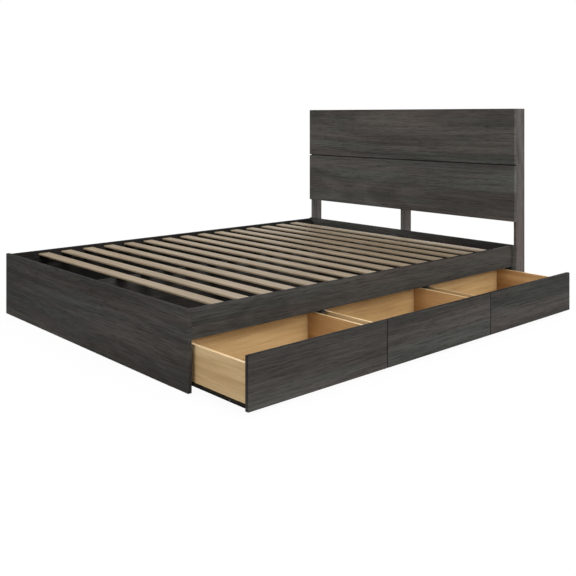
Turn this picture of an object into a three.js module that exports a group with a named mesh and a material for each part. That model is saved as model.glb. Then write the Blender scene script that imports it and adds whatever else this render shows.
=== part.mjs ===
// Full-size platform bed with three storage drawers along one side and a slatted deck.
// Units are millimetres. +X points to the drawer side, +Y to the headboard, +Z up.
// The origin is on the floor under the middle of the base, below the centre panel.
// The drawers stand open, at the outer end of their slides.

import * as THREE from 'three';
import { ConvexGeometry } from 'three/addons/geometries/ConvexGeometry.js';

// ---- Driving dimensions -------------------------------------------------------------------

const BASE_WIDTH = 1448;
const BASE_LENGTH = 1946;
const BOARD = 15; // thickness of every laminated board
const FOOTBOARD_HEIGHT = 275;
const RAIL_TOP = 271;
const RAIL_BOTTOM = 169;
const GAP = 0.3; // between pieces that touch
const EDGE = 0.8; // chamfer along board edges

const HEADBOARD_TOP = 943;
const HEADBOARD_BOTTOM = 389;
const HEADBOARD_SLOT = 5; // between the two headboard panels
const POST_DEPTH = 74;
const CLEAT_HEIGHT = 60; // of the strips that back the slot

const SLAT_COUNT = 15;
const SLAT_WIDTH = 53;
const SLAT_THICKNESS = 8;
const SLAT_LENGTH = 1385;
const SLAT_PITCH = 114.3;
const SLAT_TOP = 260.6;
const SLAT_EDGE_RADIUS = 2.5;
const LEDGE_WIDTH = 20;
const LEDGE_HEIGHT = 30;

const DRAWER_COUNT = 3;
const DRAWER_TRAVEL = 289;
const FRONT_BOTTOM = 14.5;
const FRONT_TOP = 185.5;
const FRONT_GAP = 2.5; // between neighbouring drawer fronts
const FRONT_END_GAP = 1.5; // between the end fronts and the boards beside them
const BOX_DEPTH = 370;
const BOX_BOTTOM = 19.5;
const BOX_TOP = 155;
const BOX_BOARD = 12;
const BOX_FLOOR_THICKNESS = 4;
const BOX_FLOOR_HEIGHT = 30; // underside of the drawer floor
const GROOVE_DEPTH = 5;

const SLIDE_CLEARANCE = 12.7; // between a drawer box and the board beside it
const SLIDE_LENGTH = 350;
const SLIDE_SETBACK = 18; // from the rail's outer face to the front of the fixed slide
const STEEL = 1.2;
const CHANNEL_BOTTOM = 10;
const CHANNEL_TOP = 28;
const CHANNEL_REACH = 9.5;
const RUNNER_BOTTOM = 18;
const RUNNER_TOP = 31.5;
const RUNNER_LIP_START = 3;
const RUNNER_FOOT = 11.6; // how far the runner reaches under the drawer side

// ---- Derived positions --------------------------------------------------------------------

const SIDE_X = BASE_WIDTH / 2;
const FOOT_Y = -BASE_LENGTH / 2;
const HEAD_Y = BASE_LENGTH / 2;
const INNER_FOOT_Y = FOOT_Y + BOARD;
const INNER_HEAD_Y = HEAD_Y - BOARD;
const RAIL_OUTER_X = SIDE_X - BOARD - 1;
const RAIL_INNER_X = RAIL_OUTER_X - BOARD;
const SIDE_INNER_X = -SIDE_X + BOARD;
const DECK_Z = SLAT_TOP - SLAT_THICKNESS - GAP; // top of whatever carries the slats
const LEDGE_BOTTOM = DECK_Z - LEDGE_HEIGHT;
const BAY_WIDTH = (INNER_HEAD_Y - INNER_FOOT_Y - (DRAWER_COUNT - 1) * BOARD) / DRAWER_COUNT;
const FRONT_SPAN = INNER_HEAD_Y - INNER_FOOT_Y - 2 * FRONT_END_GAP;
const FRONT_WIDTH = (FRONT_SPAN - (DRAWER_COUNT - 1) * FRONT_GAP) / DRAWER_COUNT;
const FRONT_INNER_X = SIDE_X - BOARD + DRAWER_TRAVEL;
const BOX_REAR_X = FRONT_INNER_X - BOX_DEPTH;

// ---- Materials ----------------------------------------------------------------------------

const finishes = {
  laminate: { color: 0x47423d, roughness: 0.55, metalness: 0 },
  postLaminate: { color: 0x4d4843, roughness: 0.55, metalness: 0 },
  birch: { color: 0xc9a876, roughness: 0.5, metalness: 0 },
  slatWood: { color: 0xc2ac8e, roughness: 0.6, metalness: 0 },
  steel: { color: 0x1d1d1f, roughness: 0.4, metalness: 0.6 },
};

const materials = Object.fromEntries(
  Object.entries(finishes).map(([name, finish]) => [name, new THREE.MeshStandardMaterial(finish)]),
);

// ---- Geometry helpers ---------------------------------------------------------------------

// A board between two corners, with a small chamfer on every edge.
function boardGeometry(low, high, chamfer = EDGE) {
  const middle = low.map((value, i) => (value + high[i]) / 2);
  const half = low.map((value, i) => (high[i] - value) / 2);
  const points = [];
  for (const sx of [-1, 1]) {
    for (const sy of [-1, 1]) {
      for (const sz of [-1, 1]) {
        for (let flat = 0; flat < 3; flat += 1) {
          const reach = half.map((value, i) => (i === flat ? value : value - chamfer));
          points.push(new THREE.Vector3(
            middle[0] + sx * reach[0],
            middle[1] + sy * reach[1],
            middle[2] + sz * reach[2],
          ));
        }
      }
    }
  }
  return new ConvexGeometry(points);
}

// An outline in the Y-Z plane, drawn as [y, z] pairs, carried along X from x0 to x1.
function alongX(outline, x0, x1) {
  const shape = new THREE.Shape(outline.map(([y, z]) => new THREE.Vector2(y, z)));
  const geometry = new THREE.ExtrudeGeometry(shape, { depth: x1 - x0, bevelEnabled: false });
  const turn = new THREE.Matrix4().makeBasis(
    new THREE.Vector3(0, 1, 0),
    new THREE.Vector3(0, 0, 1),
    new THREE.Vector3(1, 0, 0),
  );
  return geometry.applyMatrix4(turn).translate(x0, 0, 0);
}

// An outline in the X-Z plane, drawn as [x, z] pairs, carried along Y from y0 to y1.
function alongY(outline, y0, y1) {
  const shape = new THREE.Shape(outline.map(([x, z]) => new THREE.Vector2(-x, z)));
  const geometry = new THREE.ExtrudeGeometry(shape, { depth: y1 - y0, bevelEnabled: false });
  const turn = new THREE.Matrix4().makeBasis(
    new THREE.Vector3(-1, 0, 0),
    new THREE.Vector3(0, 0, 1),
    new THREE.Vector3(0, 1, 0),
  );
  return geometry.applyMatrix4(turn).translate(0, y0, 0);
}

const bed = new THREE.Group();

function add(name, geometry, finish) {
  const mesh = new THREE.Mesh(geometry, materials[finish]);
  mesh.name = name;
  bed.add(mesh);
}

// ---- Base frame ---------------------------------------------------------------------------

function addBase() {
  const foot = INNER_FOOT_Y + GAP;
  const head = INNER_HEAD_Y - GAP;
  add('footboard', boardGeometry(
    [-SIDE_X, FOOT_Y, 0],
    [SIDE_X, INNER_FOOT_Y, FOOTBOARD_HEIGHT],
  ), 'laminate');
  add('head_panel', boardGeometry(
    [-SIDE_X, INNER_HEAD_Y, 0],
    [SIDE_X, HEAD_Y, FOOTBOARD_HEIGHT],
  ), 'laminate');
  add('side_panel', boardGeometry(
    [-SIDE_X, foot, 0],
    [SIDE_INNER_X, head, RAIL_TOP],
  ), 'laminate');
  add('side_rail', boardGeometry(
    [RAIL_INNER_X, foot, RAIL_BOTTOM],
    [RAIL_OUTER_X, head, RAIL_TOP],
  ), 'laminate');
  add('centre_panel', boardGeometry(
    [-BOARD / 2, foot, 0],
    [BOARD / 2, head, DECK_Z],
  ), 'laminate');
  add('slat_ledge_left', boardGeometry(
    [SIDE_INNER_X + GAP, foot, LEDGE_BOTTOM],
    [SIDE_INNER_X + GAP + LEDGE_WIDTH, head, DECK_Z],
  ), 'laminate');
  add('slat_ledge_right', boardGeometry(
    [RAIL_INNER_X - GAP - LEDGE_WIDTH, foot, LEDGE_BOTTOM],
    [RAIL_INNER_X - GAP, head, DECK_Z],
  ), 'laminate');
}

// The Y of the foot-end wall of a drawer bay.
function bayStart(index) {
  return INNER_FOOT_Y + index * (BAY_WIDTH + BOARD);
}

function addDividers() {
  for (let index = 1; index < DRAWER_COUNT; index += 1) {
    const y = bayStart(index);
    add(`divider_${index}`, boardGeometry(
      [BOARD / 2 + GAP, y - BOARD, 0],
      [RAIL_INNER_X - GAP, y, LEDGE_BOTTOM - GAP],
    ), 'laminate');
  }
}

// ---- Slatted deck -------------------------------------------------------------------------

// Cross-section of a slat: a flat strip with rounded long edges.
function slatOutline(y) {
  const r = SLAT_EDGE_RADIUS;
  const stepsPerCorner = 4;
  const corners = [
    [y + SLAT_WIDTH / 2 - r, SLAT_TOP - r, 0],
    [y - SLAT_WIDTH / 2 + r, SLAT_TOP - r, 1],
    [y - SLAT_WIDTH / 2 + r, SLAT_TOP - SLAT_THICKNESS + r, 2],
    [y + SLAT_WIDTH / 2 - r, SLAT_TOP - SLAT_THICKNESS + r, 3],
  ];
  return corners.flatMap(([cy, cz, quarter]) => (
    Array.from({ length: stepsPerCorner + 1 }, (_, i) => {
      const angle = (quarter + i / stepsPerCorner) * Math.PI / 2;
      return [cy + r * Math.cos(angle), cz + r * Math.sin(angle)];
    })
  ));
}

function addSlats() {
  const middle = (SIDE_INNER_X + RAIL_INNER_X) / 2;
  for (let index = 0; index < SLAT_COUNT; index += 1) {
    const y = (index - (SLAT_COUNT - 1) / 2) * SLAT_PITCH;
    const name = `slat_${String(index + 1).padStart(2, '0')}`;
    add(name, alongX(slatOutline(y), middle - SLAT_LENGTH / 2, middle + SLAT_LENGTH / 2), 'slatWood');
  }
}

// ---- Headboard ----------------------------------------------------------------------------

function addHeadboard() {
  const panelHeight = (HEADBOARD_TOP - HEADBOARD_BOTTOM - HEADBOARD_SLOT) / 2;
  const panels = [
    ['headboard_lower_panel', HEADBOARD_BOTTOM],
    ['headboard_upper_panel', HEADBOARD_TOP - panelHeight],
  ];
  for (const [name, z] of panels) {
    add(name, boardGeometry(
      [-SIDE_X, INNER_HEAD_Y, z],
      [SIDE_X, HEAD_Y, z + panelHeight],
    ), 'laminate');
  }
  const posts = [
    ['headboard_post_left', -SIDE_X],
    ['headboard_post_centre', -BOARD / 2],
    ['headboard_post_right', SIDE_X - BOARD],
  ];
  for (const [name, x] of posts) {
    add(name, boardGeometry(
      [x, HEAD_Y + GAP, 0],
      [x + BOARD, HEAD_Y + GAP + POST_DEPTH, HEADBOARD_TOP],
    ), 'postLaminate');
  }
  const slotMiddle = (HEADBOARD_TOP + HEADBOARD_BOTTOM) / 2;
  const cleats = [
    ['headboard_cleat_left', -SIDE_X + BOARD, -BOARD / 2],
    ['headboard_cleat_right', BOARD / 2, SIDE_X - BOARD],
  ];
  for (const [name, x0, x1] of cleats) {
    add(name, boardGeometry(
      [x0 + GAP, HEAD_Y + GAP, slotMiddle - CLEAT_HEIGHT / 2],
      [x1 - GAP, HEAD_Y + GAP + BOARD, slotMiddle + CLEAT_HEIGHT / 2],
    ), 'laminate');
  }
}

// ---- Drawer slides ------------------------------------------------------------------------

// Slide sections are drawn as [distance from the bay wall, z]. A foot-end slide reads the
// distance along +Y, a head-end slide along -Y.
function placeSection(section, wallY, direction) {
  return section.map(([distance, z]) => [wallY + direction * distance, z]);
}

// The fixed channel is a C that opens toward the drawer.
const channelSection = [
  [GAP, CHANNEL_BOTTOM],
  [CHANNEL_REACH, CHANNEL_BOTTOM],
  [CHANNEL_REACH, CHANNEL_BOTTOM + STEEL],
  [GAP + STEEL, CHANNEL_BOTTOM + STEEL],
  [GAP + STEEL, CHANNEL_TOP - STEEL],
  [CHANNEL_REACH, CHANNEL_TOP - STEEL],
  [CHANNEL_REACH, CHANNEL_TOP],
  [GAP, CHANNEL_TOP],
];

// The runner hugs the bottom edge of the drawer side, and its lip passes over the channel.
const runnerWall = SLIDE_CLEARANCE - GAP;
const runnerLip = CHANNEL_TOP + GAP;
const runnerSection = [
  [runnerWall - STEEL, RUNNER_BOTTOM],
  [runnerWall + RUNNER_FOOT, RUNNER_BOTTOM],
  [runnerWall + RUNNER_FOOT, RUNNER_BOTTOM + STEEL],
  [runnerWall, RUNNER_BOTTOM + STEEL],
  [runnerWall, RUNNER_TOP],
  [runnerWall - STEEL, RUNNER_TOP],
  [runnerWall - STEEL, runnerLip + STEEL],
  [RUNNER_LIP_START, runnerLip + STEEL],
  [RUNNER_LIP_START, runnerLip],
  [runnerWall - STEEL, runnerLip],
];

// ---- Drawers ------------------------------------------------------------------------------

// Cross-section of a box board with a groove for the drawer floor. outer and inner are the
// coordinates of its two faces; the groove is cut in the inner one.
function groovedOutline(outer, inner) {
  const into = inner + Math.sign(outer - inner) * GROOVE_DEPTH;
  const grooveLow = BOX_FLOOR_HEIGHT - GAP;
  const grooveHigh = BOX_FLOOR_HEIGHT + BOX_FLOOR_THICKNESS + GAP;
  return [
    [outer, BOX_BOTTOM],
    [inner, BOX_BOTTOM],
    [inner, grooveLow],
    [into, grooveLow],
    [into, grooveHigh],
    [inner, grooveHigh],
    [inner, BOX_TOP],
    [outer, BOX_TOP],
  ];
}

function addDrawer(index) {
  const number = index + 1;
  const wallFoot = bayStart(index);
  const wallHead = wallFoot + BAY_WIDTH;
  const boxFoot = wallFoot + SLIDE_CLEARANCE;
  const boxHead = wallHead - SLIDE_CLEARANCE;
  const frontY = INNER_FOOT_Y + FRONT_END_GAP + index * (FRONT_WIDTH + FRONT_GAP);
  const sideFront = FRONT_INNER_X - GAP;

  add(`drawer_${number}_front`, boardGeometry(
    [FRONT_INNER_X, frontY, FRONT_BOTTOM],
    [FRONT_INNER_X + BOARD, frontY + FRONT_WIDTH, FRONT_TOP],
  ), 'laminate');
  add(`drawer_${number}_side_foot`, alongX(
    groovedOutline(boxFoot, boxFoot + BOX_BOARD),
    BOX_REAR_X,
    sideFront,
  ), 'birch');
  add(`drawer_${number}_side_head`, alongX(
    groovedOutline(boxHead, boxHead - BOX_BOARD),
    BOX_REAR_X,
    sideFront,
  ), 'birch');
  add(`drawer_${number}_back`, alongY(
    groovedOutline(BOX_REAR_X, BOX_REAR_X + BOX_BOARD),
    boxFoot + BOX_BOARD + GAP,
    boxHead - BOX_BOARD - GAP,
  ), 'birch');
  const floorInset = BOX_BOARD - GROOVE_DEPTH + GAP;
  add(`drawer_${number}_floor`, boardGeometry(
    [BOX_REAR_X + floorInset, boxFoot + floorInset, BOX_FLOOR_HEIGHT],
    [sideFront, boxHead - floorInset, BOX_FLOOR_HEIGHT + BOX_FLOOR_THICKNESS],
    GAP,
  ), 'birch');

  const channelFront = RAIL_OUTER_X - SLIDE_SETBACK;
  const runnerFront = sideFront;
  for (const [end, wallY, direction] of [['foot', wallFoot, 1], ['head', wallHead, -1]]) {
    add(`slide_channel_${number}_${end}`, alongX(
      placeSection(channelSection, wallY, direction),
      channelFront - SLIDE_LENGTH,
      channelFront,
    ), 'steel');
    add(`drawer_${number}_runner_${end}`, alongX(
      placeSection(runnerSection, wallY, direction),
      runnerFront - SLIDE_LENGTH,
      runnerFront,
    ), 'steel');
  }
}

addBase();
addDividers();
addSlats();
addHeadboard();
for (let index = 0; index < DRAWER_COUNT; index += 1) {
  addDrawer(index);
}

export default bed;
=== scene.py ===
"""Looks for a full-size platform bed with three storage drawers: dark wood-grain laminate boards,
pale hardwood slats, birch drawer boxes and black roller slides. Lengths are in metres."""

import math

import bmesh
import bpy
from mathutils import Matrix, Vector


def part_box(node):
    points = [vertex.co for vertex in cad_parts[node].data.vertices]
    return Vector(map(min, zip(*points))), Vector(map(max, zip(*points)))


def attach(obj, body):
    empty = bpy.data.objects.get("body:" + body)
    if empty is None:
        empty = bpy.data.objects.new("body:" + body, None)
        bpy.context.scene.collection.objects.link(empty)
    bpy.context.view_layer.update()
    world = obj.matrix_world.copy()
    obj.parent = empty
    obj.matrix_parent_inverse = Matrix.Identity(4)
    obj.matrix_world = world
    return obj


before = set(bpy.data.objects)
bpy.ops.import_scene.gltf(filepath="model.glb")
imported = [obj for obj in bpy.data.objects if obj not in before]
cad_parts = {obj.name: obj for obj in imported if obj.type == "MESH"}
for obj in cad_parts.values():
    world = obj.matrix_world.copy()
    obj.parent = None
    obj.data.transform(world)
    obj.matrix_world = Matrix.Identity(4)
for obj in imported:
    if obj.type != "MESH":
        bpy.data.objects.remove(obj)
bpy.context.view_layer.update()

# ---- Named sizes: camera, lights and stage ------------------------------------------------

CAMERA_PLACE = (2.882, -2.486, 0.9105)
CAMERA_PITCH = 90  # level
CAMERA_YAW = 47.86
CAMERA_LENS = 50.09
CAMERA_SENSOR = 36.0
CAMERA_SHIFT_Y = -0.2999
CAMERA_FAR = 100.0

WHITE = (1.0, 1.0, 1.0, 1.0)
BACKDROP_STRENGTH = 1.0
AMBIENT_STRENGTH = 0.72
FLOOR_WHITE = 0.92
FLOOR_BOUNCE = 0.1
FLOOR_GLOW = 0.95
FLOOR_HALF = 60.0
FLOOR_HEIGHT = -0.0005
SUN_DISC = 30  # degrees across
SUNS = (  # name, the direction it shines from, power
    ("key", (0.82, 0.0, 0.57), 1.65),
    ("side", (0.97, 0.0, 0.26), 0.4),
    ("front", (0.0, -0.97, 0.26), 1.0),
    ("back", (-0.5, 0.7, 0.5), 1.0),
    ("far", (0.0, 0.8, 0.6), 0.5),
)

# ---- Named sizes: hardware ----------------------------------------------------------------

DRAWERS = (1, 2, 3)
SIDES = ("foot", "head")

ROUND_STEPS = 28  # corners of a turned piece
PIN_STEPS = 16
SHARP_ANGLE = 35  # degrees, above which an edge stays sharp

ROLLER_RADIUS = 0.0074
ROLLER_WIDTH = 0.0060
ROLLER_SETBACK = 0.010
ROLLER_MIDDLE = 0.0052  # from the back of a channel to the middle of its rollers
HUB_RADIUS = 0.0030
HUB_FOOT = 0.0034
DISH_RADIUS = 0.0050
DISH_RIM = 0.0054
DISH_DEPTH = 0.0006
TREAD_ROUND = ((0.0007, 0.0), (0.0002, 0.0004), (0.0, 0.0012))  # in from the rim and the face

PIN_RADIUS = 0.0022
PIN_LENGTH = 0.0030
PIN_START = 0.0012  # from the mouth of a channel back to the pin's end

SCREW_RADIUS = 0.0034
SCREW_HEIGHT = 0.0013
CHANNEL_SCREWS = (0.040, 0.160, 0.300)  # from the back end of a channel
CHANNEL_SEAT = 0.0013  # from the back of a channel to the seat of its screws
CHANNEL_GAP = 0.0003  # from the board beside a bay to the back of a channel
RUNNER_SCREWS = (0.035, 0.262)  # from the back end of a runner
RUNNER_SEAT = 0.0112  # from the board beside a bay to the outside of a runner
RUNNER_SCREW_HEIGHT = 0.0056  # above the bottom of a runner
LEDGE_SCREWS = 7
CLEAT_SCREWS = 4
CLEAT_ROWS = 2
BOX_SCREWS = (0.052, 0.130)  # heights of the screws through a drawer side into the back

CAM_RADIUS = 0.0075
CAM_HEIGHT = 0.0006
CAM_INSET = 0.034  # from a joint to the middle of the cam that pulls it together
PANEL_CAM_INSET = 0.060  # from the top or bottom of a panel to its cams in a post
CAM_LOW, CAM_MIDDLE, CAM_HIGH = 0.060, 0.160, 0.195  # heights of the cams in the base

# Profiles as (part of the radius, part of the height), from the axis out and back to it.
PAN_HEAD = (  # a low pan head with a round recess for the driver
    (0, -1), (0.55, -1), (1, 0), (1, 0.35), (0.86, 0.80), (0.60, 1), (0.42, 1), (0.336, 0.35),
    (0, 0.30),
)
CAM_DISC = (  # the metal disc of a cam lock: a rounded rim round a driver recess
    (0, -1), (0.9, -1), (1, 0), (1, 0.6), (0.93, 1), (0.46, 1), (0.40, 0.2), (0.16, 0), (0, 0),
)
PLAIN_PIN = ((0, 0), (1, 0), (1, 1), (0, 1))

# ---- Named values: materials --------------------------------------------------------------
# A noise's scales run along, across and through the grain, in waves per metre. A tone layer is
# where its noise starts and ends, and its share of the tone. A ramp is (position, colour) stops.
# A roughness is the stretch of the tone or noise, then the roughness at either end of it. A bump
# is its distance and strength.

SEED_STEPS = (3.7, 1.3, 0.9)  # how far one seed moves a grain along, across and through
SIDE_TURN = (0.50, 0.70)  # how squarely a face points along an axis as its painted light or shade comes in
CHAMFER_TURN = (0.80, 0.95)  # how squarely a face points, between a chamfer and a flat side, as its rubbed edge comes in

HEART_LEAN = (0.15, -0.45, 0.55, -0.2, 0.35, -0.6, 0.05)  # across a board, as parts of its width
HEART_SWAY = (0.25, 0.75)
HEART_DEPTH = (0.06, 0.19)  # of a trunk's heart under the face of a board
LAMINATE_DRIFT = 0.016
LAMINATE_NOISE = {
    "sway": (0.8, 0.0, 0.0),
    "wobble": (1.7, 7.0, 1.0),
    "broad": (0.6, 10.0, 2.0),
    "figure": (1.3, 62.0, 5.0),
    "streak": (2.4, 140.0, 12.0),
    "tick": (12.0, 240.0, 30.0),
    "pore": (26.0, 900.0, 90.0),
    "tint": (1.3, 16.0, 1.0),
    "rub": (38.0, 38.0, 38.0),
}
LAMINATE_TONE = {
    "figure": (0.30, 0.70, 0.24),
    "streak": (0.30, 0.70, 0.22),
    "tick": (0.32, 0.48, 0.24),
    "broad": (0.34, 0.66, 0.30),
}
LAMINATE_RAMP = (
    (0.15, (0.0258, 0.0246, 0.0224)),
    (0.52, (0.0440, 0.0418, 0.0378)),
    (0.88, (0.0735, 0.0700, 0.0638)),
)
LAMINATE_TINT = ((0.34, (1.07, 0.980, 0.975)), (0.66, (0.95, 1.010, 1.010)))
LAMINATE_ROUGHNESS = (0.1, 0.9, 0.80, 0.66)
LAMINATE_SPECULAR = 0.08
LAMINATE_BUMP = (0.00025, 0.5)
STREAK_RELIEF, PIT_RELIEF = 0.6, 0.4  # shares of the bump's height
PIT_STRETCH = (0.30, 0.42)
PIT_AMOUNT = 0.6
PIT_COLOUR = (0.012, 0.012, 0.012)
RUB_STRETCH = (0.45, 0.62)
RUB_AMOUNT = 0.3
WORN_EDGE = (0.115, 0.104, 0.090)

BIRCH_DRIFT = 0.03
BIRCH_NOISE = {
    "warp": (2.2, 6.0, 1.0),
    "broad": (1.6, 9.0, 3.0),
    "figure": (3.0, 60.0, 6.0),
    "fine": (9.0, 380.0, 30.0),
    "fleck": (60.0, 1100.0, 90.0),
}
BIRCH_TONE = {
    "figure": (0.30, 0.70, 0.32),
    "fine": (0.30, 0.70, 0.20),
    "broad": (0.30, 0.70, 0.48),
}
BIRCH_RAMP = (
    (0.12, (0.375, 0.230, 0.100)),
    (0.50, (0.575, 0.396, 0.198)),
    (0.88, (0.760, 0.565, 0.325)),
)
BIRCH_FIGURE_TWIST = 0.2
BIRCH_ROUGHNESS = (0.1, 0.9, 0.52, 0.40)
BIRCH_SPECULAR = 0.40
BIRCH_BUMP = (0.00018, 0.4)
FLECK_STRETCH = (0.28, 0.38, 1.0, 0.0)
FLECK_AMOUNT = 0.35
FLECK_COLOUR = (0.34, 0.20, 0.09)

SLAT_NOISE = {
    "broad": (1.8, 14.0, 4.0),
    "figure": (3.5, 110.0, 12.0),
    "fine": (14.0, 620.0, 60.0),
}
SLAT_TONE = {
    "figure": (0.30, 0.70, 0.45),
    "fine": (0.30, 0.70, 0.25),
    "broad": (0.30, 0.70, 0.30),
}
SLAT_RAMP = (
    (0.10, (0.162, 0.116, 0.068)),
    (0.50, (0.240, 0.182, 0.118)),
    (0.90, (0.330, 0.262, 0.182)),
)
SLAT_FIGURE_TWIST = 0.3
SLAT_ROUGHNESS = (0.1, 0.9, 0.68, 0.56)
SLAT_SPECULAR = 0.22
SLAT_BUMP = (0.0002, 0.4)
SLAT_TONES = (1.02, 0.97, 1.04, 0.99, 0.94, 1.01, 0.98)
GRAIN_ROUGHNESS = 0.6  # of the figure and fine noises in birch and slats

# Detail of each noise above, where it isn't 1.
DETAIL = {
    "laminate": {"rub": 2.0},
    "birch": {"broad": 2.0, "figure": 4.0, "fine": 3.0},
    "slat": {"broad": 2.0, "figure": 4.0, "fine": 3.0},
}

STEEL_RUB = (35.0, 4.0)  # scale and detail of a noise that is as coarse in every direction
STEEL_PEEL = (900.0, 2.0)
STEEL_RAMP = ((0.35, (0.003, 0.003, 0.003)), (0.75, (0.009, 0.009, 0.009)))
STEEL_ROUGHNESS = (0.3, 0.7, 0.50, 0.34)
STEEL_SPECULAR = 0.15
STEEL_BUMP = (0.00012, 0.6)
ZINC_MOTTLE = (700.0, 3.0)
ZINC_RAMP = ((0.3, (0.52, 0.52, 0.54)), (0.7, (0.74, 0.74, 0.74)))
ZINC_ROUGHNESS = (0.3, 0.7, 0.42, 0.24)
NYLON_CLOUD = (420.0, 3.0)
NYLON_RAMP = ((0.3, (0.55, 0.55, 0.53)), (0.7, (0.68, 0.68, 0.66)))
NYLON_ROUGHNESS = (0.3, 0.7, 0.50, 0.36)
NYLON_BUMP = (0.0001, 0.4)

# ---- Named values: painted light and shade on each side of a board ------------------------
# The lightness of a board and of its sides was fitted to the photograph, so it also holds some
# of the light that fell on the real boards. It isn't only the foil's own colour.

UP, TO_DRAWERS, TO_FOOT, TO_HEAD = (2, 1), (0, 1), (1, -1), (1, 1)  # (axis, direction)
HEAD_SHADOW_X = (-0.3, 0.6)  # where the rail's painted shadow comes in on the head panel's footward side, along X
HEAD_LIT_STRIP_X = (0.704, 0.712)  # where the painted light on its outer strip starts
BOX_SHADE_X = (0.82, 0.66)  # where the painted shade on a drawer side gets darker toward the back
POST_HUE = (1.05, 0.97, 1.01)
# Painted shade on the drawer boxes' backs and inside faces, darker in the back corners, and a
# painted highlight on their top edges.
BACK_SHADE = (0.88, 0.84, 0.775)
INNER_SHADE = (0.795, 0.672, 0.548)
CORNER_SHADE = (0.74, 0.66, 0.58)
TOP_HIGHLIGHT = 1.12
SLAT_SEED = 41
BOX_SIDE_SEED = 50
BOX_BACK_SEED = 54
BOX_FLOOR_SEED = 60

# ---- Node helpers -------------------------------------------------------------------------


class Shade:
    """A material's node tree, with short calls for the nodes that this scene uses."""

    def __init__(self, name):
        self.material = bpy.data.materials.new(name)
        self.material.use_nodes = True
        self.tree = self.material.node_tree
        self.bsdf = self.tree.nodes["Principled BSDF"]

    def link(self, source, target):
        self.tree.links.new(source, target)

    def feed(self, socket, value):
        if isinstance(value, bpy.types.NodeSocket):
            self.link(value, socket)
        else:
            socket.default_value = value

    def math(self, operation, a, b=0.0):
        node = self.tree.nodes.new("ShaderNodeMath")
        node.operation = operation
        self.feed(node.inputs[0], a)
        self.feed(node.inputs[1], b)
        return node.outputs[0]

    def combine(self, x, y, z):
        node = self.tree.nodes.new("ShaderNodeCombineXYZ")
        for socket, value in zip(node.inputs, (x, y, z)):
            self.feed(socket, value)
        return node.outputs[0]

    def split(self, vector):
        node = self.tree.nodes.new("ShaderNodeSeparateXYZ")
        self.link(vector, node.inputs[0])
        return node.outputs[0], node.outputs[1], node.outputs[2]

    def point(self):
        """The point being shaded, in the row frame."""
        return self.tree.nodes.new("ShaderNodeTexCoord").outputs["Object"]

    def place(self):
        """The point being shaded as three numbers."""
        return self.split(self.point())

    def facing(self):
        """The direction that the shaded face points in, as three numbers."""
        return self.split(self.tree.nodes.new("ShaderNodeNewGeometry").outputs["True Normal"])

    def noise(self, vector, detail, roughness=0.5, distortion=0.0, scale=1.0):
        node = self.tree.nodes.new("ShaderNodeTexNoise")
        node.inputs["Scale"].default_value = scale
        node.inputs["Detail"].default_value = detail
        node.inputs["Roughness"].default_value = roughness
        node.inputs["Distortion"].default_value = distortion
        self.link(vector, node.inputs["Vector"])
        return node.outputs["Fac"]

    def mottle(self, scale, detail):
        """Noise that is as coarse in every direction."""
        return self.noise(self.point(), detail, scale=scale)

    def spread(self, value, low, high, to_low=0.0, to_high=1.0):
        """value stretched from low..high to to_low..to_high, and held there."""
        node = self.tree.nodes.new("ShaderNodeMapRange")
        node.clamp = True
        self.feed(node.inputs["Value"], value)
        node.inputs["From Min"].default_value = low
        node.inputs["From Max"].default_value = high
        node.inputs["To Min"].default_value = to_low
        node.inputs["To Max"].default_value = to_high
        return node.outputs["Result"]

    def layered(self, noises, tone):
        """The sum of the noises, each stretched and given its share."""
        parts = [
            self.math("MULTIPLY", self.spread(noises[name], low, high), share)
            for name, (low, high, share) in tone.items()
        ]
        total = parts[0]
        for part in parts[1:]:
            total = self.math("ADD", total, part)
        return total

    def ramp(self, value, stops):
        """A colour ramp through (position, linear colour) stops."""
        node = self.tree.nodes.new("ShaderNodeValToRGB")
        elements = node.color_ramp.elements
        while len(elements) < len(stops):
            elements.new(0.5)
        for element, (position, colour) in zip(elements, stops):
            element.position = position
            element.color = (*colour, 1.0)
        self.feed(node.inputs[0], value)
        return node.outputs[0]

    def mix(self, factor, a, b, blend="MIX"):
        node = self.tree.nodes.new("ShaderNodeMix")
        node.data_type = "RGBA"
        node.blend_type = blend
        self.feed(node.inputs["Factor"], factor)
        for socket, value in ((node.inputs[6], a), (node.inputs[7], b)):
            self.feed(socket, value if isinstance(value, bpy.types.NodeSocket) else (*value, 1.0))
        return node.outputs[2]

    def bump(self, height, distance, strength):
        node = self.tree.nodes.new("ShaderNodeBump")
        node.inputs["Strength"].default_value = strength
        node.inputs["Distance"].default_value = distance
        self.link(height, node.inputs["Height"])
        self.link(node.outputs[0], self.bsdf.inputs["Normal"])

    def set(self, **sockets):
        for name, value in sockets.items():
            self.feed(self.bsdf.inputs[name.replace("_", " ")], value)


def grey(value):
    return (value, value, value)


def tinted(colour, hue):
    return tuple(a * b for a, b in zip(colour, hue))


def tinted_ramp(stops, hue):
    return [(position, tinted(colour, hue)) for position, colour in stops]


# ---- Materials ----------------------------------------------------------------------------

AXES = {  # grain direction of an upright or a flat board: the axes along, across and through it
    "X": (0, 2, 1), "Y": (1, 2, 0), "Z": (2, 1, 0), "X_flat": (0, 1, 2), "Y_flat": (1, 0, 2),
}


def grain_axes(shade, grain, seed):
    """The shaded point as distance along, across and through a board's grain."""
    point = shade.place()
    return tuple(
        shade.math("ADD", point[axis], step * seed)
        for axis, step in zip(AXES[grain], SEED_STEPS)
    )


def scaler(shade, along, across, through):
    """A function that stretches a board's three distances into a noise vector."""
    def stretched(a, b, c):
        return shade.combine(
            shade.math("MULTIPLY", along, a),
            shade.math("MULTIPLY", across, b),
            shade.math("MULTIPLY", through, c),
        )
    return stretched


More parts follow.
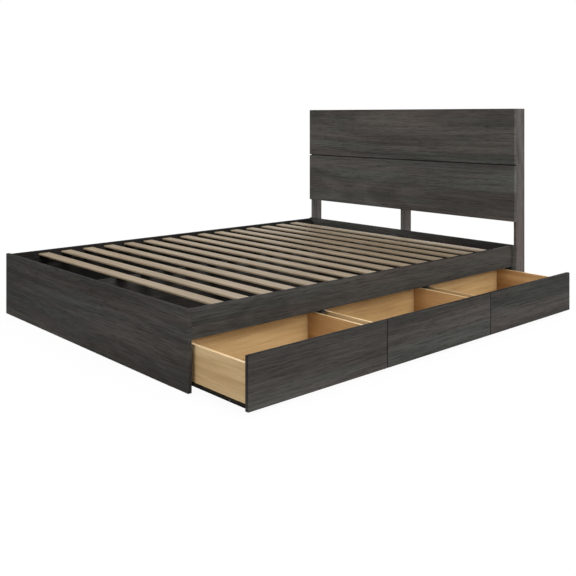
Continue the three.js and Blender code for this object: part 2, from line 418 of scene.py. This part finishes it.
def paint_light_on_sides(shade, base, sides):
    """Paints light and shade on the sides of a board that differ from its face: (axis, direction,
    colour) of each, and where the painted light or shade comes in along X, if it doesn't hold for
    the whole side."""
    facing = shade.facing()
    for axis, direction, colour, *fade in sides:
        turned_to = shade.math("MULTIPLY", facing[axis], direction)
        amount = shade.spread(turned_to, *SIDE_TURN)
        for start, end in fade:
            amount = shade.math("MULTIPLY", amount, shade.spread(shade.place()[0], start, end))
        base = shade.mix(amount, base, colour, "MULTIPLY")
    return base


def edge_mask(shade):
    """1 on the chamfers along a board's edges and 0 on its flat sides."""
    x, y, z = (shade.math("ABSOLUTE", part) for part in shade.facing())
    flattest = shade.math("MAXIMUM", shade.math("MAXIMUM", x, y), z)
    return shade.spread(flattest, *CHAMFER_TURN, 1.0, 0.0)


def laminate(node, seed, grain, hue, sides):
    """Charcoal-brown wood-grain foil for one board: growth rings of a trunk that runs along it, cut
    beside the heart, with fine streaks, short dark ticks, lightly rubbed edges and painted light and
    shade on the sides given."""
    shade = Shade(f"laminate_{node}")
    along, across, through = grain_axes(shade, grain, seed)
    low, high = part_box(node)
    axis = AXES[grain][1]
    lean = HEART_LEAN[seed % len(HEART_LEAN)]
    heart = (low[axis] + high[axis]) / 2 + lean * (high[axis] - low[axis])
    offset = shade.math("SUBTRACT", across, heart + SEED_STEPS[1] * seed)

    def noise(stretched, name):
        detail = DETAIL["laminate"].get(name, 1.0)
        return shade.noise(stretched(*LAMINATE_NOISE[name]), detail)

    straight = scaler(shade, along, across, through)
    depth = shade.spread(noise(straight, "sway"), *HEART_SWAY, *HEART_DEPTH)
    ring = shade.math("SQRT", shade.math(
        "ADD", shade.math("MULTIPLY", offset, offset), shade.math("MULTIPLY", depth, depth),
    ))
    wobble = shade.math("SUBTRACT", noise(straight, "wobble"), 0.5)
    drift = shade.math("MULTIPLY", wobble, LAMINATE_DRIFT)
    rings = scaler(shade, along, shade.math("ADD", ring, drift), through)
    lines = scaler(shade, along, shade.math("ADD", across, drift), through)
    noises = {name: noise(lines, name) for name in ("broad", "streak", "tick", "pore", "tint")}
    noises["figure"] = noise(rings, "figure")

    tone = shade.layered(noises, LAMINATE_TONE)
    base = shade.ramp(tone, tinted_ramp(LAMINATE_RAMP, hue))
    base = shade.mix(1.0, base, shade.ramp(noises["tint"], LAMINATE_TINT), "MULTIPLY")
    # painted light and shade on the sides given
    base = paint_light_on_sides(shade, base, sides)
    flat = shade.spread(noises["pore"], *PIT_STRETCH)
    pits = shade.math("MULTIPLY", shade.math("SUBTRACT", 1.0, flat), PIT_AMOUNT)
    base = shade.mix(pits, base, PIT_COLOUR)
    rub = shade.math("MULTIPLY", shade.spread(noise(straight, "rub"), *RUB_STRETCH), RUB_AMOUNT)
    base = shade.mix(shade.math("MULTIPLY", edge_mask(shade), rub), base, WORN_EDGE)
    shade.set(
        Base_Color=base,
        Roughness=shade.spread(tone, *LAMINATE_ROUGHNESS),
        Specular_IOR_Level=LAMINATE_SPECULAR,
    )
    streaks = shade.math("MULTIPLY", noises["streak"], STREAK_RELIEF)
    height = shade.math("ADD", streaks, shade.math("MULTIPLY", flat, PIT_RELIEF))
    shade.bump(height, *LAMINATE_BUMP)
    return shade.material


def grain_noises(shade, stretched, scales, detail, twist):
    """The broad, figure and fine noises of a light wood."""
    return {
        "broad": shade.noise(stretched(*scales["broad"]), detail["broad"]),
        "figure": shade.noise(
            stretched(*scales["figure"]), detail["figure"], GRAIN_ROUGHNESS, twist,
        ),
        "fine": shade.noise(stretched(*scales["fine"]), detail["fine"], GRAIN_ROUGHNESS),
    }


def birch(name, seed, grain, sides):
    """Light birch foil: soft lengthwise grain with faint darker flecks, and painted light and shade
    on the sides given.
    """
    shade = Shade(name)
    along, across, through = grain_axes(shade, grain, seed)
    straight = scaler(shade, along, across, through)
    warp = shade.math("SUBTRACT", shade.noise(straight(*BIRCH_NOISE["warp"]), 1.0), 0.5)
    across = shade.math("ADD", across, shade.math("MULTIPLY", warp, BIRCH_DRIFT))
    warped = scaler(shade, along, across, through)
    noises = grain_noises(shade, warped, BIRCH_NOISE, DETAIL["birch"], BIRCH_FIGURE_TWIST)
    tone = shade.layered(noises, BIRCH_TONE)
    flecks = shade.spread(shade.noise(warped(*BIRCH_NOISE["fleck"]), 1.0), *FLECK_STRETCH)
    base = shade.ramp(tone, BIRCH_RAMP)
    base = shade.mix(shade.math("MULTIPLY", flecks, FLECK_AMOUNT), base, FLECK_COLOUR)
    # painted light and shade on the sides given
    base = paint_light_on_sides(shade, base, sides)
    shade.set(
        Base_Color=base,
        Roughness=shade.spread(tone, *BIRCH_ROUGHNESS),
        Specular_IOR_Level=BIRCH_SPECULAR,
    )
    shade.bump(noises["fine"], *BIRCH_BUMP)
    return shade.material


def slat_wood(name, seed, hue):
    """Smooth pale hardwood strip with straight lengthwise grain."""
    shade = Shade(name)
    straight = scaler(shade, *grain_axes(shade, "X_flat", seed))
    noises = grain_noises(shade, straight, SLAT_NOISE, DETAIL["slat"], SLAT_FIGURE_TWIST)
    tone = shade.layered(noises, SLAT_TONE)
    shade.set(
        Base_Color=shade.ramp(tone, tinted_ramp(SLAT_RAMP, hue)),
        Roughness=shade.spread(tone, *SLAT_ROUGHNESS),
        Specular_IOR_Level=SLAT_SPECULAR,
    )
    shade.bump(noises["fine"], *SLAT_BUMP)
    return shade.material


def coated_steel(name):
    """Black powder coat: fine orange-peel texture and lightly rubbed patches."""
    shade = Shade(name)
    rub = shade.mottle(*STEEL_RUB)
    shade.set(
        Base_Color=shade.ramp(rub, STEEL_RAMP),
        Roughness=shade.spread(rub, *STEEL_ROUGHNESS),
        Specular_IOR_Level=STEEL_SPECULAR,
    )
    shade.bump(shade.mottle(*STEEL_PEEL), *STEEL_BUMP)
    return shade.material


def zinc(name):
    """Bright zinc-plated screw heads, slightly uneven."""
    shade = Shade(name)
    mottle = shade.mottle(*ZINC_MOTTLE)
    shade.set(
        Base_Color=shade.ramp(mottle, ZINC_RAMP),
        Roughness=shade.spread(mottle, *ZINC_ROUGHNESS),
        Metallic=1.0,
    )
    return shade.material


def nylon(name):
    """Moulded nylon, with a slight cloudiness and fine texture."""
    shade = Shade(name)
    cloud = shade.mottle(*NYLON_CLOUD)
    shade.set(
        Base_Color=shade.ramp(cloud, NYLON_RAMP),
        Roughness=shade.spread(cloud, *NYLON_ROUGHNESS),
    )
    shade.bump(cloud, *NYLON_BUMP)
    return shade.material


# ---- Materials on the CAD nodes -----------------------------------------------------------


def paint(node, material):
    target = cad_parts[node]
    target.data.materials.clear()
    target.data.materials.append(material)


def painted_light_side(turn, lightness, *fade):
    """One side of a board with painted light or shade: which way it points, and how light or dark it
    is painted.
    """
    return (*turn, grey(lightness), *fade)


def paint_boards():
    """Each board gets its own foil: its grain direction, how light it is, and painted shade and
    light on its top edges, ends and inside faces, which are darker or lighter than its face."""
    # Painted shade on top edges, footboard end, side panel inside, gaps between drawer fronts and
    # the post's footward side; painted light on headboard ends; the rail's painted shadow and a lit
    # strip on the head panel.
    shaded_top, deep_shaded_top = painted_light_side(UP, 0.22), painted_light_side(UP, 0.10)
    lit_right_end = painted_light_side(TO_DRAWERS, 1.5)
    shaded_footboard_end, shaded_panel_inside = painted_light_side(TO_DRAWERS, 0.78), painted_light_side(TO_DRAWERS, 0.34)
    head_rail_shadow, lit_head_strip = painted_light_side(TO_FOOT, 0.5, HEAD_SHADOW_X), painted_light_side(TO_FOOT, 3.4, HEAD_LIT_STRIP_X)
    shaded_gap_foot, shaded_gap_head = painted_light_side(TO_FOOT, 0.2), painted_light_side(TO_HEAD, 0.2)
    shaded_front_end, shaded_post_side = painted_light_side(TO_FOOT, 0.6), painted_light_side(TO_FOOT, 0.65)
    boards = (  # node, seed of its grain, grain direction, lightness partly painted as light and shade, painted sides
        ("footboard", 1, "X", 1.11, (shaded_top, shaded_footboard_end)),
        ("head_panel", 2, "X", 1.0, (shaded_top, head_rail_shadow, lit_head_strip)),
        ("headboard_lower_panel", 3, "X", 1.42, (shaded_top, lit_right_end)),
        ("headboard_upper_panel", 4, "X", 1.55, (shaded_top, lit_right_end)),
        ("headboard_cleat_left", 5, "X", 1.0, (shaded_top,)),
        ("headboard_cleat_right", 6, "X", 1.0, (shaded_top,)),
        # Dividers, centre panel and ledges inside the base are darker as painted shade, the ledges
        # under the slats most.
        ("divider_1", 7, "X", 0.9, (deep_shaded_top,)),
        ("divider_2", 8, "X", 0.9, (deep_shaded_top,)),
        ("side_panel", 9, "Y", 0.9, (shaded_top, shaded_panel_inside)),
        ("side_rail", 10, "Y", 1.0, (shaded_top,)),
        ("centre_panel", 11, "Y", 0.9, (deep_shaded_top,)),
        ("slat_ledge_left", 12, "Y", 0.4, (deep_shaded_top,)),
        ("slat_ledge_right", 13, "Y", 0.4, (deep_shaded_top,)),
        ("drawer_1_front", 14, "Y", 1.31, (shaded_top, shaded_front_end, shaded_gap_head)),
        ("drawer_2_front", 15, "Y", 1.21, (shaded_top, shaded_gap_foot, shaded_gap_head)),
        ("drawer_3_front", 16, "Y", 1.21, (shaded_top, shaded_gap_foot)),
        ("headboard_post_left", 17, "Z", 2.48, (shaded_top,)),
        ("headboard_post_centre", 18, "Z", 2.42, (shaded_top,)),
        ("headboard_post_right", 19, "Z", 2.18, (shaded_top, shaded_post_side)),
    )
    for node, seed, grain, lightness, sides in boards:
        hue = tinted(grey(lightness), POST_HUE if "post" in node else grey(1))
        paint(node, laminate(node, seed, grain, hue, sides))


def paint_deck():
    kinds = [
        slat_wood(f"slat_wood_{index + 1}", index + SLAT_SEED, grey(tone))
        for index, tone in enumerate(SLAT_TONES)
    ]
    slats = sorted(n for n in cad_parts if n.startswith("slat_") and n[5:].isdigit())
    for index, node in enumerate(slats):
        paint(node, kinds[index % len(kinds)])


def paint_drawers():
    steel = coated_steel("slide_steel")
    # A painted highlight on the boxes' top edges, and painted shade on their backs and inside faces,
    # darker toward the back corners.
    highlighted_top = painted_light_side(UP, TOP_HIGHLIGHT)
    shaded_back_face = (*TO_DRAWERS, BACK_SHADE)
    floor_foil = birch("birch_floor", BOX_FLOOR_SEED, "Y_flat", ())
    for number in DRAWERS:
        back = birch(f"birch_back_{number}", number + BOX_BACK_SEED, "Y", (highlighted_top, shaded_back_face))
        for end in SIDES:
            shaded_inner = (1, inward(end), INNER_SHADE)
            shaded_corner = (1, inward(end), CORNER_SHADE, BOX_SHADE_X)
            name = f"birch_side_{number}_{end}"
            foil = birch(name, number + BOX_SIDE_SEED, "X", (highlighted_top, shaded_inner, shaded_corner))
            paint(f"drawer_{number}_side_{end}", foil)
            paint(f"drawer_{number}_runner_{end}", steel)
            paint(f"slide_channel_{number}_{end}", steel)
        paint(f"drawer_{number}_back", back)
        paint(f"drawer_{number}_floor", floor_foil)


# ---- Hardware -----------------------------------------------------------------------------


def turned(mesh, profile, place, axis, steps=ROUND_STEPS):
    """Adds a solid of revolution to a bmesh. profile is (radius, height) pairs that start and end
    on the axis, and axis is the direction that height grows in."""
    turn = Vector((0, 0, 1)).rotation_difference(Vector(axis)).to_matrix().to_4x4()
    matrix = Matrix.Translation(Vector(place)) @ turn
    rings = []
    for radius, height in profile:
        if radius == 0:
            rings.append([mesh.verts.new(matrix @ Vector((0, 0, height)))])
            continue
        ring = []
        for step in range(steps):
            angle = 2 * math.pi * step / steps
            ring.append(mesh.verts.new(matrix @ Vector((
                radius * math.cos(angle), radius * math.sin(angle), height,
            ))))
        rings.append(ring)
    for low, high in zip(rings, rings[1:]):
        for step in range(steps):
            after = (step + 1) % steps
            corners = [low[step % len(low)], low[after % len(low)],
                       high[after % len(high)], high[step % len(high)]]
            unique = list(dict.fromkeys(corners))
            if len(unique) > 2:
                mesh.faces.new(unique)


def piece(name, mesh, material, body):
    """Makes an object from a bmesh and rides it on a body."""
    bmesh.ops.recalc_face_normals(mesh, faces=mesh.faces)
    data = bpy.data.meshes.new(name)
    mesh.to_mesh(data)
    mesh.free()
    data.materials.append(material)
    made = bpy.data.objects.new(name, data)
    bpy.context.scene.collection.objects.link(made)
    for polygon in data.polygons:
        polygon.use_smooth = True
    data.set_sharp_from_angle(angle=math.radians(SHARP_ANGLE))
    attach(made, body)


def sized(profile, radius, height):
    """A profile given in parts of a radius and a height, at its real size."""
    return [(part * radius, level * height) for part, level in profile]


def roller_profile():
    """A wheel with a rounded tread, a dished face and a raised hub."""
    half = ROLLER_WIDTH / 2
    tread = [(ROLLER_RADIUS - inset, half - drop) for inset, drop in TREAD_ROUND]
    face = [
        (0, half), (HUB_RADIUS, half), (HUB_FOOT, half - DISH_DEPTH),
        (DISH_RADIUS, half - DISH_DEPTH), (DISH_RIM, half), *tread,
    ]
    return [(radius, -height) for radius, height in face] + face[::-1]


ROLLER = roller_profile()
SCREW = sized(PAN_HEAD, SCREW_RADIUS, SCREW_HEIGHT)
CAM = sized(CAM_DISC, CAM_RADIUS, CAM_HEIGHT)
PIN = sized(PLAIN_PIN, PIN_RADIUS, PIN_LENGTH)


def inward(end):
    """The Y direction from a bay wall to its drawer."""
    return 1 if end == "foot" else -1


def slide_hardware(zinc_plate):
    """Rollers, pins and screws of the slides. One roller turns in the mouth of each fixed channel
    and one on a pin at the back of each runner."""
    white = nylon("roller_nylon")
    for number in DRAWERS:
        moving_rollers, moving_screws = bmesh.new(), bmesh.new()
        fixed_rollers, fixed_screws = bmesh.new(), bmesh.new()
        for end in SIDES:
            y_in = inward(end)
            low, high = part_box(f"slide_channel_{number}_{end}")
            back, mouth = (low.y, high.y) if end == "foot" else (high.y, low.y)
            z = (low.z + high.z) / 2
            roller_y = back + y_in * ROLLER_MIDDLE
            turned(fixed_rollers, ROLLER, (high.x - ROLLER_SETBACK, roller_y, z), (0, 1, 0))
            seat_y = back + y_in * CHANNEL_SEAT
            for reach in CHANNEL_SCREWS:
                turned(fixed_screws, SCREW, (low.x + reach, seat_y, z), (0, y_in, 0))
            run_low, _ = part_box(f"drawer_{number}_runner_{end}")
            rear = run_low.x + ROLLER_SETBACK
            turned(moving_rollers, ROLLER, (rear, roller_y, z), (0, 1, 0))
            pin_y = mouth - y_in * PIN_START
            turned(moving_screws, PIN, (rear, pin_y, z), (0, y_in, 0), PIN_STEPS)
            seat_y = back + y_in * RUNNER_SEAT - y_in * CHANNEL_GAP
            screw_z = run_low.z + RUNNER_SCREW_HEIGHT
            for reach in RUNNER_SCREWS:
                turned(moving_screws, SCREW, (run_low.x + reach, seat_y, screw_z), (0, -y_in, 0))
        body = f"drawer_{number}"
        piece(f"drawer_{number}_rollers", moving_rollers, white, body)
        piece(f"drawer_{number}_slide_screws", moving_screws, zinc_plate, body)
        piece(f"slide_{number}_rollers", fixed_rollers, white, "frame")
        piece(f"slide_{number}_screws", fixed_screws, zinc_plate, "frame")


def facing_side(node, side, axis=0):
    """The coordinate of a board's face on one side of an axis."""
    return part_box(node)[1 if side > 0 else 0][axis]


def even(low, high, count):
    """The middles of count equal stretches between two coordinates."""
    return [low + (high - low) * (step + 0.5) / count for step in range(count)]


def frame_cams(zinc_plate):
    """Cam locks in the posts, where the panels meet them, and in the boards of the base."""
    cams = bmesh.new()
    for name, way in (("left", 1), ("centre", 1), ("right", -1)):
        post = f"headboard_post_{name}"
        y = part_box(post)[0].y + CAM_INSET
        for panel in ("head_panel", "headboard_lower_panel", "headboard_upper_panel"):
            low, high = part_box(panel)
            for z in (low.z + PANEL_CAM_INSET, high.z - PANEL_CAM_INSET):
                turned(cams, CAM, (facing_side(post, way), y, z), (way, 0, 0))
    for node, way, heights in (
        ("side_panel", 1, (CAM_LOW, CAM_HIGH)),
        ("centre_panel", -1, (CAM_LOW, CAM_HIGH)),
        ("side_rail", -1, (CAM_HIGH,)),
    ):
        low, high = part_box(node)
        for y in (low.y + CAM_INSET, high.y - CAM_INSET):
            for z in heights:
                turned(cams, CAM, (facing_side(node, way), y, z), (way, 0, 0))
    for divider in ("divider_1", "divider_2"):
        low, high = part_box(divider)
        for z in (CAM_LOW, CAM_MIDDLE):
            turned(cams, CAM, (low.x + CAM_INSET, high.y, z), (0, 1, 0))
    piece("cam_locks", cams, zinc_plate, "frame")


def frame_screws(zinc_plate, steel):
    """Screws through the slat ledges and through the cleats that back the headboard's slot."""
    ledge_screws, cleat_screws = bmesh.new(), bmesh.new()
    for ledge, way in (("slat_ledge_left", 1), ("slat_ledge_right", -1)):
        low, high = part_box(ledge)
        for y in even(low.y, high.y, LEDGE_SCREWS):
            place = (facing_side(ledge, way), y, (low.z + high.z) / 2)
            turned(ledge_screws, SCREW, place, (way, 0, 0))
    for cleat in ("headboard_cleat_left", "headboard_cleat_right"):
        low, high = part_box(cleat)
        for x in even(low.x, high.x, CLEAT_SCREWS):
            for z in even(low.z, high.z, CLEAT_ROWS):
                turned(cleat_screws, SCREW, (x, high.y, z), (0, 1, 0))
    piece("ledge_screws", ledge_screws, steel, "frame")
    piece("cleat_screws", cleat_screws, zinc_plate, "frame")


def drawer_screws(zinc_plate):
    """Screws through the drawer sides into the backs."""
    for number in DRAWERS:
        screws = bmesh.new()
        back_low, back_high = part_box(f"drawer_{number}_back")
        for end in SIDES:
            outward = -inward(end)
            y = facing_side(f"drawer_{number}_side_{end}", outward, 1)
            for z in BOX_SCREWS:
                place = ((back_low.x + back_high.x) / 2, y, z)
                turned(screws, SCREW, place, (0, outward, 0))
        body = f"drawer_{number}"
        piece(f"drawer_{number}_box_screws", screws, zinc_plate, body)


def add_hardware():
    zinc_plate = zinc("zinc")
    slide_hardware(zinc_plate)
    frame_cams(zinc_plate)
    frame_screws(zinc_plate, coated_steel("black_screws"))
    drawer_screws(zinc_plate)


# ---- Camera, lights and stage -------------------------------------------------------------


def add_camera():
    data = bpy.data.cameras.new("camera")
    data.lens = CAMERA_LENS
    data.sensor_width = CAMERA_SENSOR
    data.shift_y = CAMERA_SHIFT_Y
    data.clip_end = CAMERA_FAR
    camera = bpy.data.objects.new("camera", data)
    camera.location = CAMERA_PLACE
    camera.rotation_euler = (math.radians(CAMERA_PITCH), 0, math.radians(CAMERA_YAW))
    bpy.context.scene.collection.objects.link(camera)
    bpy.context.scene.camera = camera


def sun(name, source, power):
    """A soft sun that shines from the direction source."""
    data = bpy.data.lights.new(name, "SUN")
    data.energy = power
    data.angle = math.radians(SUN_DISC)
    light = bpy.data.objects.new(name, data)
    light.rotation_euler = (-Vector(source)).to_track_quat("-Z", "Y").to_euler()
    bpy.context.scene.collection.objects.link(light)


def add_world():
    """A white backdrop that lights the object with less than its own brightness."""
    world = bpy.data.worlds.new("studio")
    world.use_nodes = True
    tree = world.node_tree
    backdrop = tree.nodes["Background"]
    backdrop.inputs["Color"].default_value = WHITE
    backdrop.inputs["Strength"].default_value = BACKDROP_STRENGTH
    ambient = tree.nodes.new("ShaderNodeBackground")
    ambient.inputs["Color"].default_value = WHITE
    ambient.inputs["Strength"].default_value = AMBIENT_STRENGTH
    path = tree.nodes.new("ShaderNodeLightPath")
    mix = tree.nodes.new("ShaderNodeMixShader")
    tree.links.new(path.outputs["Is Camera Ray"], mix.inputs[0])
    tree.links.new(ambient.outputs[0], mix.inputs[1])
    tree.links.new(backdrop.outputs[0], mix.inputs[2])
    tree.links.new(mix.outputs[0], tree.nodes["World Output"].inputs["Surface"])
    bpy.context.scene.world = world


def under_base(shade):
    """1 on the floor inside the base, behind the drawers, and 0 elsewhere."""
    low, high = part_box("footboard")[0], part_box("head_panel")[1]
    behind_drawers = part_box("drawer_1_back")[0].x
    x, y, _ = shade.place()
    in_x = shade.math(
        "MULTIPLY", shade.math("GREATER_THAN", x, low.x), shade.math("LESS_THAN", x, behind_drawers),
    )
    in_y = shade.math(
        "MULTIPLY", shade.math("GREATER_THAN", y, low.y), shade.math("LESS_THAN", y, high.y),
    )
    return shade.math("MULTIPLY", in_x, in_y)


def floor_material():
    """White paper that looks evenly lit to the camera, so that next to no shadow shows except
    inside the base, and that throws little light on the object."""
    shade = Shade("studio_floor")
    shade.tree.nodes.remove(shade.bsdf)
    paper, thrown, glow, seen, paths = (
        shade.tree.nodes.new(kind) for kind in (
            "ShaderNodeBsdfDiffuse", "ShaderNodeBsdfDiffuse", "ShaderNodeEmission",
            "ShaderNodeMixShader", "ShaderNodeMixShader",
        )
    )
    path = shade.tree.nodes.new("ShaderNodeLightPath")
    paper.inputs["Color"].default_value = (*grey(FLOOR_WHITE), 1.0)
    thrown.inputs["Color"].default_value = (*grey(FLOOR_BOUNCE), 1.0)
    shade.link(shade.spread(under_base(shade), 0.0, 1.0, FLOOR_GLOW, 0.0), seen.inputs[0])
    shade.link(paper.outputs[0], seen.inputs[1])
    shade.link(glow.outputs[0], seen.inputs[2])
    shade.link(path.outputs["Is Camera Ray"], paths.inputs[0])
    shade.link(thrown.outputs[0], paths.inputs[1])
    shade.link(seen.outputs[0], paths.inputs[2])
    shade.link(paths.outputs[0], shade.tree.nodes["Material Output"].inputs["Surface"])
    return shade.material


def add_floor():
    mesh = bmesh.new()
    bmesh.ops.create_grid(mesh, x_segments=1, y_segments=1, size=FLOOR_HALF)
    data = bpy.data.meshes.new("studio_floor")
    mesh.to_mesh(data)
    mesh.free()
    data.materials.append(floor_material())
    floor = bpy.data.objects.new("studio_floor", data)
    floor.location = (0, 0, FLOOR_HEIGHT)
    bpy.context.scene.collection.objects.link(floor)


def add_stage():
    bpy.context.scene.view_settings.view_transform = "Standard"
    add_world()
    add_floor()
    for name, source, power in SUNS:
        sun(name, source, power)


# ---- Assembly -----------------------------------------------------------------------------

add_camera()
add_stage()
paint_boards()
paint_deck()
paint_drawers()
add_hardware()
